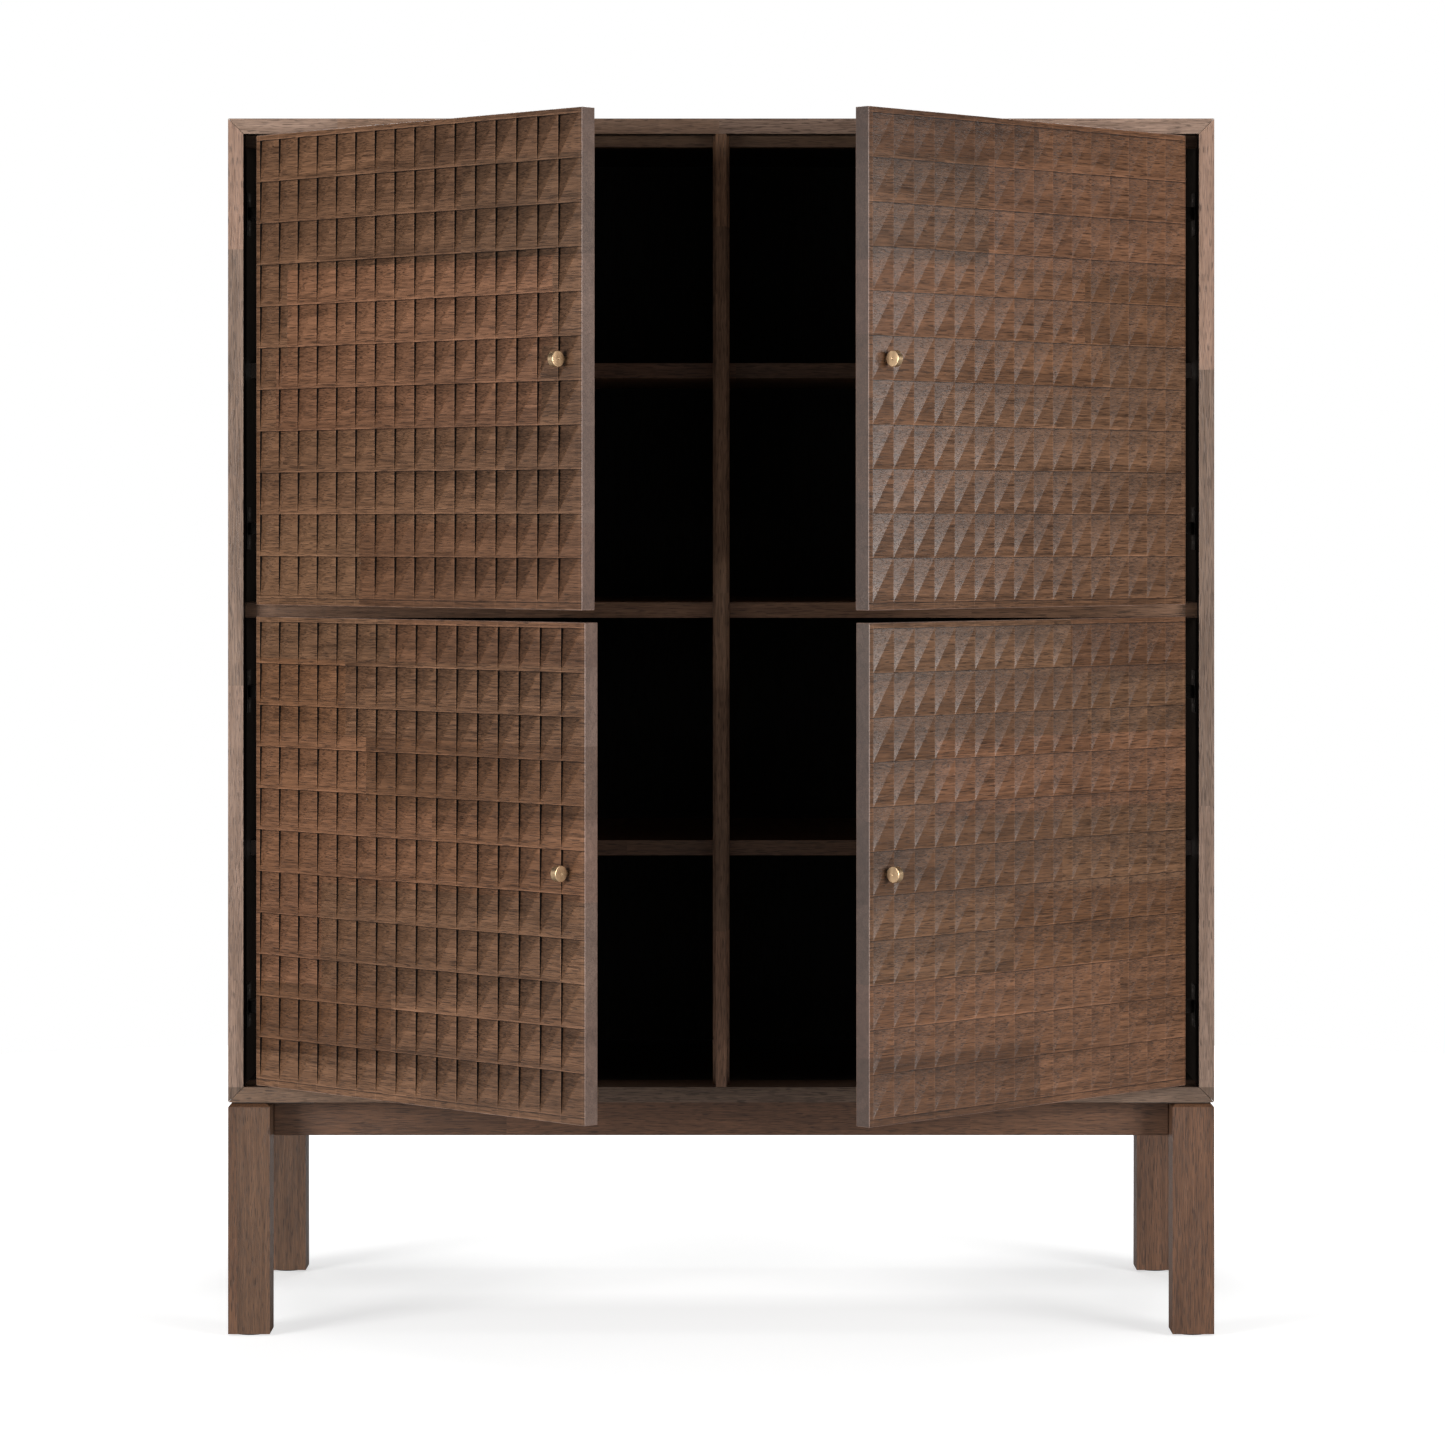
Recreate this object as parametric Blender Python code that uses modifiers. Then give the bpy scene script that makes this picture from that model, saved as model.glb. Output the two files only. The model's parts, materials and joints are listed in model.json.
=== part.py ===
"""Four-door carved cabinet on a four-leg base, modelled as separate pieces.

Metres, +Z up. The front faces -Y and +X is to the right. The origin is on the
floor, under the middle of the whole object with its doors ajar. Each door hangs
on an empty that stands on its hinge axis; the empty's turn is the ajar angle.
"""

from math import cos, pi, radians, sin

import bmesh
import bpy

# ---- driving dimensions ----
WIDTH = 1.100
DEPTH = 0.500
HEIGHT = 1.358
PANEL = 0.017            # thickness of the case panels and the shelves
FIT_GAP = 0.0003         # clearance between pieces that touch

LEG_WIDTH = 0.0465
LEG_DEPTH = 0.047
LEG_TOP = 0.2588
LEG_CHAMFER = 0.0035
PAD_HEIGHT = 0.0017
PAD_RADIUS = 0.017
CASE_BOTTOM = 0.2605
PLATE_SIZE = 0.090
PLATE_INSET = 0.005      # from the outer faces of the leg
RAIL_THICK = 0.020
RAIL_HEIGHT = 0.0406
RAIL_SETBACK = 0.044     # from the outer faces of the case

BACK_THICK = 0.008
BACK_SETBACK = 0.006
DIVIDER_THICK = 0.0185
TONGUE_WIDTH = 0.012     # front of the divider, between the free edges of the doors
STOP_SETBACK = 0.0205    # front of everything that the closed doors rest against
STOP_HEIGHT = 0.013
STOP_DEPTH = 0.018
SHELF_SETBACK = 0.080

DOOR_WIDTH = 0.522
DOOR_HEIGHT = 0.5232
DOOR_THICK = 0.0185
DOOR_SIDE_GAP = 0.002
DOOR_END_GAP = 0.0021
AXIS_INBOARD = 0.008     # hinge axis, inboard of the door's hinge edge
AXIS_FORWARD = 0.0145    # hinge axis, in front of the door's face
DOOR_CHAMFER = 0.0006
AJAR_DEGREES = {
    ("upper", "left"): 44.2,
    ("upper", "right"): 45.6,
    ("lower", "left"): 43.7,
    ("lower", "right"): 45.7,
}

CELL_COLUMNS = 16
CELL_ROWS = 11
CELL_WIDTH = 0.0320
CELL_HEIGHT = 0.0463
CELL_LEFT_BORDER = 0.0063
CELL_TOP_BORDER = 0.0058
CELL_RIB = 0.0004        # flat left between neighbouring cuts
FACET_DEPTH = 0.0032     # at the top left corner of a cell
FACET_EDGE = 0.0002      # along the diagonal of a cell

HINGE_FROM_END = 0.085
HINGE_HEIGHT = 0.014
CUP_RADIUS = 0.0173
CUP_DEPTH = 0.0115
CUP_FROM_EDGE = 0.0215
FLANGE_RADIUS = 0.020
FLANGE_THICK = 0.001
METAL_WALL = 0.0012

KNOB_RADIUS = 0.0086
KNOB_LENGTH = 0.0075
KNOB_FACE_FROM_HINGE = 0.498
KNOB_STANDOFF = 0.0024
POST_COLLAR_RADIUS = 0.0032
POST_COLLAR_SINK = 0.0013
POST_ROD_RADIUS = 0.0020
POST_HEAD_RADIUS = 0.0045
POST_HEAD_THICK = 0.0015

TURN_STEPS = 24

# ---- derived places ----
WIDEST = radians(max(AJAR_DEGREES.values()))
DOOR_REACH = (AXIS_FORWARD + (DOOR_WIDTH - AXIS_INBOARD) * sin(WIDEST)
              - (AXIS_FORWARD + DOOR_CHAMFER) * cos(WIDEST))
HALF_WIDTH = WIDTH / 2
FRONT = (DOOR_REACH - DEPTH) / 2
REAR = FRONT + DEPTH
CENTRE_Y = (FRONT + REAR) / 2
INNER_HALF = HALF_WIDTH - PANEL
FLOOR_TOP = CASE_BOTTOM + PANEL
CEILING = HEIGHT - PANEL
MIDDLE = (FLOOR_TOP + CEILING) / 2
STOP_FRONT = FRONT + STOP_SETBACK
BACK_FRONT = REAR - BACK_SETBACK - BACK_THICK
INTERIOR_BACK = BACK_FRONT - FIT_GAP
DIVIDER_HALF = DIVIDER_THICK / 2

SIDES = {"left": -1, "right": 1}
DOOR_BASES = {
    "upper": CEILING - DOOR_END_GAP - DOOR_HEIGHT,
    "lower": FLOOR_TOP + DOOR_END_GAP,
}

MATERIALS = {
    "case_wood": ((0.42, 0.27, 0.19), 0.50, 0.0),
    "door_wood": ((0.23, 0.12, 0.07), 0.45, 0.0),
    "shelf_wood": ((0.15, 0.09, 0.06), 0.55, 0.0),
    "leg_wood": ((0.26, 0.15, 0.10), 0.50, 0.0),
    "back_board": ((0.02, 0.017, 0.015), 0.70, 0.0),
    "brass": ((0.70, 0.50, 0.25), 0.25, 1.0),
    "black_steel": ((0.03, 0.03, 0.03), 0.40, 0.8),
    "felt": ((0.04, 0.04, 0.04), 0.90, 0.0),
}


# ---- scene helpers ----
def clear_scene():
    for item in list(bpy.data.objects):
        bpy.data.objects.remove(item, do_unlink=True)
    for group in list(bpy.data.collections):
        bpy.data.collections.remove(group)


def new_collection(name):
    group = bpy.data.collections.new(name)
    bpy.context.scene.collection.children.link(group)
    return group


def make_materials():
    made = {}
    for name, (color, roughness, metallic) in MATERIALS.items():
        material = bpy.data.materials.new(name)
        material.use_nodes = True
        shader = material.node_tree.nodes["Principled BSDF"]
        shader.inputs["Base Color"].default_value = (*color, 1.0)
        shader.inputs["Roughness"].default_value = roughness
        shader.inputs["Metallic"].default_value = metallic
        material.diffuse_color = (*color, 1.0)
        made[name] = material
    return made


def add_object(name, data, group, parent=None, location=(0, 0, 0), rotation=(0, 0, 0)):
    item = bpy.data.objects.new(name, data)
    item.location = location
    item.rotation_euler = rotation
    item.parent = parent
    group.objects.link(item)
    return item


def box_mesh(name, size):
    mesh = bpy.data.meshes.new(name)
    shape = bmesh.new()
    bmesh.ops.create_cube(shape, size=1.0)
    bmesh.ops.scale(shape, vec=size, verts=shape.verts)
    shape.to_mesh(mesh)
    shape.free()
    return mesh


def box_between(name, low, high, material, parent=None):
    """A box from its lowest to its highest corner, in its parent's frame."""
    size = [high[axis] - low[axis] for axis in range(3)]
    centre = [(high[axis] + low[axis]) / 2 for axis in range(3)]
    item = add_object(name, box_mesh(name, size), PARTS, parent, centre)
    item.data.materials.append(MADE[material])
    return item


def cylinder_mesh(name, radius, length, steps=TURN_STEPS):
    mesh = bpy.data.meshes.new(name)
    shape = bmesh.new()
    bmesh.ops.create_cone(shape, cap_ends=True, segments=steps, radius1=radius,
                          radius2=radius, depth=length)
    shape.to_mesh(mesh)
    shape.free()
    return mesh


def outline_prism(name, points, thickness, material, location, rotation=(0, 0, 0)):
    """A flat outline, drawn in its own XY plane, with half its thickness each way."""
    curve = bpy.data.curves.new(name, "CURVE")
    curve.dimensions = "2D"
    curve.fill_mode = "BOTH"
    curve.extrude = thickness / 2
    spline = curve.splines.new("POLY")
    spline.points.add(len(points) - 1)
    for point, (x, y) in zip(spline.points, points):
        point.co = (x, y, 0.0, 1.0)
    spline.use_cyclic_u = True
    curve.materials.append(MADE[material])
    return add_object(name, curve, PARTS, None, location, rotation)


def turned(name, profile, material, parent, location, rotation):
    """A profile of (radius, height) points, from top to bottom, turned about its Z."""
    mesh = bpy.data.meshes.new(name)
    shape = bmesh.new()
    points = [shape.verts.new((radius, 0.0, height)) for radius, height in profile]
    for start, end in zip(points, points[1:]):
        shape.edges.new((start, end))
    shape.to_mesh(mesh)
    shape.free()
    mesh.materials.append(MADE[material])
    item = add_object(name, mesh, PARTS, parent, location, rotation)
    screw = item.modifiers.new("turn", "SCREW")
    screw.axis = "Z"
    screw.steps = TURN_STEPS
    screw.render_steps = TURN_STEPS
    screw.use_merge_vertices = True
    screw.merge_threshold = 0.00005
    return item


def soften(item, width):
    bevel = item.modifiers.new("soft edges", "BEVEL")
    bevel.width = width
    bevel.segments = 1
    bevel.limit_method = "ANGLE"


def cut(item, cutter):
    boolean = item.modifiers.new("cut " + cutter.name, "BOOLEAN")
    boolean.operation = "DIFFERENCE"
    boolean.solver = "EXACT"
    boolean.object = cutter


def add_cutter(name, mesh, parent, location, rotation=(0, 0, 0)):
    cutter = add_object(name, mesh, CUTTERS, parent, location, rotation)
    cutter.hide_render = True
    cutter.display_type = "WIRE"
    return cutter


# ---- the case ----
def case_frame():
    """Top, bottom and sides meet in mitres, cut back by the fit gap."""
    outer = HALF_WIDTH - FIT_GAP
    inner = INNER_HALF - FIT_GAP
    low_outer = CASE_BOTTOM + FIT_GAP
    low_inner = FLOOR_TOP + FIT_GAP
    high_outer = HEIGHT - FIT_GAP
    high_inner = CEILING - FIT_GAP
    outlines = {
        "top_panel": [(-outer, HEIGHT), (-inner, CEILING), (inner, CEILING), (outer, HEIGHT)],
        "bottom_panel": [(-outer, CASE_BOTTOM), (outer, CASE_BOTTOM),
                         (inner, FLOOR_TOP), (-inner, FLOOR_TOP)],
        "left_side": [(-HALF_WIDTH, low_outer), (-INNER_HALF, low_inner),
                      (-INNER_HALF, high_inner), (-HALF_WIDTH, high_outer)],
        "right_side": [(HALF_WIDTH, low_outer), (HALF_WIDTH, high_outer),
                       (INNER_HALF, high_inner), (INNER_HALF, low_inner)],
    }
    for name, points in outlines.items():
        outline_prism(name, points, DEPTH, "case_wood", (0, CENTRE_Y, 0), (pi / 2, 0, 0))


def case_inside():
    """Back board, divider with its front tongue, fixed shelves, stops and shelves."""
    side = INNER_HALF - FIT_GAP
    low = FLOOR_TOP + FIT_GAP
    high = CEILING - FIT_GAP
    box_between("back_panel", (-side, BACK_FRONT, low),
                (side, BACK_FRONT + BACK_THICK, high), "back_board")
    tongue = TONGUE_WIDTH / 2
    plan = [(-tongue, FRONT), (tongue, FRONT), (tongue, STOP_FRONT),
            (DIVIDER_HALF, STOP_FRONT), (DIVIDER_HALF, INTERIOR_BACK),
            (-DIVIDER_HALF, INTERIOR_BACK), (-DIVIDER_HALF, STOP_FRONT), (-tongue, STOP_FRONT)]
    outline_prism("divider", plan, high - low, "case_wood", (0, 0, (low + high) / 2))
    for side_name, sign in SIDES.items():
        ends = sorted((sign * (DIVIDER_HALF + FIT_GAP), sign * side))
        case_level_pieces(side_name, ends, high)


def case_level_pieces(side_name, ends, high):
    half = PANEL / 2
    shelf_levels = {
        "shelf_upper_": (MIDDLE + half + CEILING) / 2,
        "shelf_lower_": (MIDDLE - half + FLOOR_TOP) / 2,
    }
    box_between("door_stop_" + side_name, (ends[0], STOP_FRONT, high - STOP_HEIGHT),
                (ends[1], STOP_FRONT + STOP_DEPTH, high), "case_wood")
    box_between("fixed_shelf_" + side_name, (ends[0], STOP_FRONT, MIDDLE - half),
                (ends[1], INTERIOR_BACK, MIDDLE + half), "case_wood")
    for prefix, level in shelf_levels.items():
        box_between(prefix + side_name, (ends[0], FRONT + SHELF_SETBACK, level - half),
                    (ends[1], INTERIOR_BACK, level + half), "shelf_wood")


# ---- the base ----
def leg_place(x_sign, y_sign):
    return (x_sign * (HALF_WIDTH - LEG_WIDTH / 2), CENTRE_Y + y_sign * (DEPTH - LEG_DEPTH) / 2)


def leg(name, x_sign, y_sign):
    low = PAD_HEIGHT + FIT_GAP
    centre = (*leg_place(x_sign, y_sign), (low + LEG_TOP) / 2)
    mesh = box_mesh(name, (LEG_WIDTH, LEG_DEPTH, LEG_TOP - low))
    shape = bmesh.new()
    shape.from_mesh(mesh)
    top_edges = [edge for edge in shape.edges if all(vert.co.z > 0 for vert in edge.verts)]
    bmesh.ops.bevel(shape, geom=top_edges, offset=LEG_CHAMFER, segments=1, affect="EDGES")
    shape.to_mesh(mesh)
    shape.free()
    mesh.materials.append(MADE["leg_wood"])
    add_object(name, mesh, PARTS, None, centre)


def foot_pad(name, x_sign, y_sign):
    centre = (*leg_place(x_sign, y_sign), PAD_HEIGHT / 2)
    mesh = cylinder_mesh(name, PAD_RADIUS, PAD_HEIGHT)
    mesh.materials.append(MADE["felt"])
    add_object(name, mesh, PARTS, None, centre)


def corner_plate(name, x_sign, y_sign):
    """Steel plate on a leg and its two rails, which carries the case."""
    outer_x = HALF_WIDTH - PLATE_INSET
    outer_y = DEPTH / 2 - PLATE_INSET
    xs = sorted((x_sign * outer_x, x_sign * (outer_x - PLATE_SIZE)))
    ys = sorted(CENTRE_Y + y_sign * reach for reach in (outer_y, outer_y - PLATE_SIZE))
    box_between(name, (xs[0], ys[0], LEG_TOP + FIT_GAP), (xs[1], ys[1], CASE_BOTTOM - FIT_GAP),
                "black_steel")


def base_corners():
    for x_name, x_sign in SIDES.items():
        for y_name, y_sign in (("front", -1), ("back", 1)):
            corner = y_name + "_" + x_name
            leg("leg_" + corner, x_sign, y_sign)
            foot_pad("foot_pad_" + corner, x_sign, y_sign)
            corner_plate("corner_plate_" + corner, x_sign, y_sign)


def base_rails():
    low = LEG_TOP - RAIL_HEIGHT
    long_end = HALF_WIDTH - LEG_WIDTH - FIT_GAP
    outer_y = DEPTH / 2 - RAIL_SETBACK
    short_end = outer_y - RAIL_THICK - FIT_GAP
    for name, sign in (("rail_front", -1), ("rail_back", 1)):
        ys = sorted(CENTRE_Y + sign * reach for reach in (outer_y, outer_y - RAIL_THICK))
        rail = box_between(name, (-long_end, ys[0], low), (long_end, ys[1], LEG_TOP), "leg_wood")
        soften(rail, 0.0008)
    for side_name, sign in SIDES.items():
        outer_x = HALF_WIDTH - RAIL_SETBACK
        xs = sorted((sign * outer_x, sign * (outer_x - RAIL_THICK)))
        rail = box_between("rail_" + side_name, (xs[0], CENTRE_Y - short_end, low),
                           (xs[1], CENTRE_Y + short_end, LEG_TOP), "leg_wood")
        soften(rail, 0.0008)


# ---- the doors, in the frame of the empty on their hinge axis ----
def hinge_axis(name, sign, ajar):
    place = (sign * (INNER_HALF - DOOR_SIDE_GAP - AXIS_INBOARD), FRONT - AXIS_FORWARD, 0.0)
    return add_object("axis_" + name, None, PARTS, None, place, (0, 0, sign * radians(ajar)))


def facet_cutter(name, axis, left, top):
    """Wedges that sink each cell towards its top left corner, as one grid of cuts."""
    right_x = CELL_WIDTH - 2 * CELL_RIB
    high_z = CELL_HEIGHT - 2 * CELL_RIB
    clear = -0.001
    corners = [(0, clear, 0), (right_x, clear, high_z), (0, clear, high_z),
               (0, FACET_EDGE, 0), (right_x, FACET_EDGE, high_z), (0, FACET_DEPTH, high_z)]
    mesh = bpy.data.meshes.new(name)
    shape = bmesh.new()
    verts = [shape.verts.new(corner) for corner in corners]
    for face in ((0, 1, 2), (3, 5, 4), (0, 3, 4, 1), (1, 4, 5, 2), (2, 5, 3, 0)):
        shape.faces.new([verts[index] for index in face])
    shape.to_mesh(mesh)
    shape.free()
    start = (left + CELL_LEFT_BORDER + CELL_RIB, AXIS_FORWARD,
             top - CELL_TOP_BORDER - CELL_HEIGHT + CELL_RIB)
    cutter = add_cutter(name, mesh, axis, start)
    for label, count, step in (("columns", CELL_COLUMNS, (CELL_WIDTH, 0, 0)),
                               ("rows", CELL_ROWS, (0, 0, -CELL_HEIGHT))):
        array = cutter.modifiers.new(label, "ARRAY")
        array.count = count
        array.use_relative_offset = False
        array.use_constant_offset = True
        array.constant_offset_displace = step
    return cutter


def door_panel(name, axis, sign, base):
    hinge_x = sign * AXIS_INBOARD
    left = min(hinge_x, hinge_x - sign * DOOR_WIDTH)
    front = AXIS_FORWARD
    panel = box_between("door_" + name, (left, front, base),
                        (left + DOOR_WIDTH, front + DOOR_THICK, base + DOOR_HEIGHT),
                        "door_wood", axis)
    soften(panel, DOOR_CHAMFER)
    cut(panel, facet_cutter("facets_" + name, axis, left, base + DOOR_HEIGHT))
    for end_name, level in hinge_levels(base).items():
        pocket = cylinder_mesh("pocket", CUP_RADIUS + FIT_GAP, 2 * (CUP_DEPTH + FIT_GAP))
        place = (cup_x(sign), front + DOOR_THICK, level)
        label = "pocket_" + name + "_" + end_name
        cut(panel, add_cutter(label, pocket, axis, place, (pi / 2, 0, 0)))
    place = (post_x(sign), front, base + DOOR_HEIGHT / 2)
    sink = cylinder_mesh("sink", POST_COLLAR_RADIUS + FIT_GAP, 2 * (POST_COLLAR_SINK + FIT_GAP))
    bore = cylinder_mesh("bore", POST_ROD_RADIUS + FIT_GAP, 3 * DOOR_THICK)
    cut(panel, add_cutter("sink_" + name, sink, axis, place, (pi / 2, 0, 0)))
    cut(panel, add_cutter("bore_" + name, bore, axis, place, (pi / 2, 0, 0)))


def hinge_levels(base):
    return {"bottom": base + HINGE_FROM_END, "top": base + DOOR_HEIGHT - HINGE_FROM_END}


def cup_x(sign):
    return sign * (AXIS_INBOARD - CUP_FROM_EDGE)


def post_x(sign):
    return sign * (AXIS_INBOARD - KNOB_FACE_FROM_HINGE + KNOB_LENGTH / 2)


def knob_pieces(name, axis, sign, base):
    """A short brass drum that lies across the door, on a post through the door."""
    level = base + DOOR_HEIGHT / 2
    half = KNOB_LENGTH / 2
    edge = 0.0004
    rim = KNOB_RADIUS - 0.0009
    dish = half - 0.0005
    drum = [(0, dish), (rim - 0.0004, dish), (rim, half), (KNOB_RADIUS - edge, half),
            (KNOB_RADIUS, half - edge), (KNOB_RADIUS, edge - half),
            (KNOB_RADIUS - edge, -half), (rim, -half), (rim - 0.0004, -dish), (0, -dish)]
    drum_y = AXIS_FORWARD - KNOB_STANDOFF - KNOB_RADIUS
    turned("knob_" + name, drum, "brass", axis, (post_x(sign), drum_y, level), (0, pi / 2, 0))
    neck_top = KNOB_STANDOFF - FIT_GAP
    head_top = -DOOR_THICK - FIT_GAP
    post = [(0, neck_top), (POST_COLLAR_RADIUS, neck_top), (POST_COLLAR_RADIUS, -POST_COLLAR_SINK),
            (POST_ROD_RADIUS, -POST_COLLAR_SINK), (POST_ROD_RADIUS, head_top),
            (POST_HEAD_RADIUS, head_top), (POST_HEAD_RADIUS, head_top - POST_HEAD_THICK),
            (0, head_top - POST_HEAD_THICK)]
    turned("knob_post_" + name, post, "brass", axis, (post_x(sign), AXIS_FORWARD, level),
           (pi / 2, 0, 0))


def hinge_cup(name, axis, sign, level):
    """Cup sunk in the back of the door, open to the inside of the cabinet."""
    top = FIT_GAP + FLANGE_THICK
    inner = CUP_RADIUS - METAL_WALL
    profile = [(0, METAL_WALL - CUP_DEPTH), (inner, METAL_WALL - CUP_DEPTH), (inner, top),
               (FLANGE_RADIUS, top), (FLANGE_RADIUS, FIT_GAP), (CUP_RADIUS, FIT_GAP),
               (CUP_RADIUS, -CUP_DEPTH), (0, -CUP_DEPTH)]
    place = (cup_x(sign), AXIS_FORWARD + DOOR_THICK, level)
    turned("hinge_cup_" + name, profile, "black_steel", axis, place, (-pi / 2, 0, 0))


def hinge_arm(name, sign, level):
    """Cranked arm on the side of the case, reaching over the cup of the closed door."""
    plan = [(FIT_GAP, 0.062), (FIT_GAP, 0.030), (0.006, 0.0245), (0.020, 0.0218),
            (0.027, 0.0218), (0.027, 0.0255), (0.023, 0.0260), (0.013, 0.0310), (0.013, 0.062)]
    points = [(sign * (INNER_HALF - inboard), FRONT + back) for inboard, back in plan]
    outline_prism("hinge_arm_" + name, points, HINGE_HEIGHT, "black_steel", (0, 0, level))


def door(level_name, side_name):
    name = level_name + "_" + side_name
    sign = SIDES[side_name]
    base = DOOR_BASES[level_name]
    axis = hinge_axis(name, sign, AJAR_DEGREES[level_name, side_name])
    door_panel(name, axis, sign, base)
    knob_pieces(name, axis, sign, base)
    for end_name, level in hinge_levels(base).items():
        hinge_cup(name + "_" + end_name, axis, sign, level)
        hinge_arm(name + "_" + end_name, sign, level)


clear_scene()
PARTS = new_collection("carved_four_door_cabinet")
CUTTERS = new_collection("cutters")
MADE = make_materials()
case_frame()
case_inside()
base_corners()
base_rails()
for door_level, door_side in AJAR_DEGREES:
    door(door_level, door_side)
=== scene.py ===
"""Carved four-door cabinet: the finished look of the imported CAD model.

Metres, +Z up, the front faces -Y. The CAD boards keep their shape and get soft
edges and wood materials. Doors, knobs and hinge hardware are replaced by finer
meshes that ride on the same bodies.
"""

import json
from math import cos, pi, radians, sin

import bmesh
import bpy
from mathutils import Matrix, Vector

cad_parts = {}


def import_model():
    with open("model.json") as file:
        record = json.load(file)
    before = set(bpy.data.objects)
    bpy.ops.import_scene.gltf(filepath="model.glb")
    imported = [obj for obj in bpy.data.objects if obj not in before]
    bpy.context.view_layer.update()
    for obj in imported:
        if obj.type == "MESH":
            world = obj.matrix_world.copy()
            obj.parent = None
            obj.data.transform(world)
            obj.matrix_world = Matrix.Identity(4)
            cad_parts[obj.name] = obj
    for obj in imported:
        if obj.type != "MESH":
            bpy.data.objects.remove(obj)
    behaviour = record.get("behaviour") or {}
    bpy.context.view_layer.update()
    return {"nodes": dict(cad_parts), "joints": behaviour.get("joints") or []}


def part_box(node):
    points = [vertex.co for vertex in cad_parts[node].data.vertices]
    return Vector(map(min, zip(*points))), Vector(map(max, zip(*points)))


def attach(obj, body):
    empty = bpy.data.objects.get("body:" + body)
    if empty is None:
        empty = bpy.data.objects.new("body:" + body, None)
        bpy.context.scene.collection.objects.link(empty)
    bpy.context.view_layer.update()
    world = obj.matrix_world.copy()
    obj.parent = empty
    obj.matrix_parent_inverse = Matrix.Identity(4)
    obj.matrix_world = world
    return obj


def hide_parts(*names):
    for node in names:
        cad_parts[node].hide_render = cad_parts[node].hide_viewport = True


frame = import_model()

# ---- sizes shared with the CAD model ----
DOOR_WIDTH = 0.522
DOOR_THICK = 0.0185
DOOR_CHAMFER = 0.0006
AXIS_INBOARD = 0.008     # hinge axis, inboard of the door's hinge edge
AXIS_FORWARD = 0.0145    # hinge axis, in front of the door's face
CELL_COLUMNS = 16
CELL_ROWS = 11
CELL_WIDTH = 0.0320
CELL_HEIGHT = 0.0463
CELL_LEFT_BORDER = 0.0063
CELL_TOP_BORDER = 0.0058
FACET_DEPTH = 0.0032
HINGE_FROM_END = 0.085
CUP_RADIUS = 0.0173
CUP_DEPTH = 0.0115
CUP_FROM_EDGE = 0.0215
FIT_GAP = 0.0003         # clearance between pieces that touch
KNOB_RADIUS = 0.0086
KNOB_LENGTH = 0.0075
KNOB_FACE_FROM_HINGE = 0.498
KNOB_STANDOFF = 0.0024

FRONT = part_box("top_panel")[0].y
SIDES = {"left": -1, "right": 1}
LEVELS = ("upper", "lower")
JOINTS = {joint["name"]: joint for joint in frame["joints"]}


# ---- shader helpers ----
def new_material(name):
    material = bpy.data.materials.new(name)
    material.use_nodes = True
    material.node_tree.nodes.clear()
    return material


def add(tree, kind, inputs=None, **settings):
    """Adds a node. Each input is a plain value or another node's output socket."""
    node = tree.nodes.new("ShaderNode" + kind)
    for key, value in settings.items():
        setattr(node, key, value)
    for key, value in (inputs or {}).items():
        if isinstance(value, bpy.types.NodeSocket):
            tree.links.new(value, node.inputs[key])
        else:
            node.inputs[key].default_value = value
    return node


def calc(tree, operation, first, second=0.0, third=0.0):
    return add(tree, "Math", {0: first, 1: second, 2: third}, operation=operation).outputs[0]


def mix_color(tree, factor, first, second, blend="MIX"):
    """Blends two colours; the factor and the result are clamped to 0..1."""
    node = add(tree, "Mix", {0: factor, 6: first, 7: second}, data_type="RGBA", blend_type=blend)
    node.clamp_result = True
    return node.outputs[2]


def tint_where(tree, mask, color, tint):
    """Multiplies a colour by an (r, g, b) tint, as far as the mask says."""
    tinted = mix_color(tree, 1.0, color, (*tint, 1.0), "MULTIPLY")
    return mix_color(tree, mask, color, tinted)


def ramp(tree, value, low, high, start=0.0, end=1.0):
    """Maps value from low..high to start..end, smoothly and clamped."""
    node = add(tree, "MapRange", {"Value": value, "From Min": low, "From Max": high,
                                  "To Min": start, "To Max": end}, interpolation_type="SMOOTHSTEP")
    return node.outputs[0]


def object_place(tree):
    return add(tree, "TexCoord").outputs["Object"]


def object_axes(tree):
    """The object's own x, y and z."""
    return add(tree, "SeparateXYZ", {0: object_place(tree)}).outputs


def finish_material(tree, color, roughness, height, bump, **constants):
    """Principled shader with a bumped normal; the constants go on its own sockets."""
    normal = add(tree, "Bump", {"Height": height, "Distance": bump, "Strength": 1.0})
    shader = add(tree, "BsdfPrincipled", {"Base Color": color, "Roughness": roughness,
                                          "Normal": normal.outputs[0]})
    for key, value in constants.items():
        shader.inputs[key.replace("_", " ")].default_value = value
    output = add(tree, "OutputMaterial")
    tree.links.new(shader.outputs[0], output.inputs["Surface"])
    return shader


# ---- wood: each is a pair of tones, dark and light ----
CASE_TONES = ((0.062, 0.030, 0.017), (0.150, 0.080, 0.050))
# painted sheen: the case's edges are paler and greyer, for the light they catch
FRONT_SHEEN_TONES = ((0.130, 0.078, 0.056), (0.360, 0.240, 0.185))
DOOR_TONES = ((0.052, 0.0225, 0.0105), (0.196, 0.092, 0.048))
# painted sheen: the doors' edge tones are greyer, for the light they catch
DOOR_EDGE_TONES = ((0.072, 0.038, 0.027), (0.165, 0.098, 0.073))
WALL_TONES = ((0.006, 0.004, 0.003), (0.014, 0.009, 0.006))
LEG_TONES = ((0.055, 0.024, 0.012), (0.150, 0.070, 0.036))
SHELF_TONES = ((0.080, 0.038, 0.019), (0.190, 0.100, 0.058))
# nearly black: painted shade inside the case; the rear face is lifted back to dark brown
BACK_TONES = ((0.004, 0.0035, 0.003), (0.010, 0.009, 0.008))

# factors that make a pair of tones lighter or darker
WORN_EDGE = 1.3
# painted highlight on the fixed shelves' rounded edges
FIXED_SHELF_HIGHLIGHT = 2.2
# painted highlight on the doors' rounded rims
DOOR_ARRIS_HIGHLIGHT = 1.8
DIVIDER = 1.6
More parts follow.
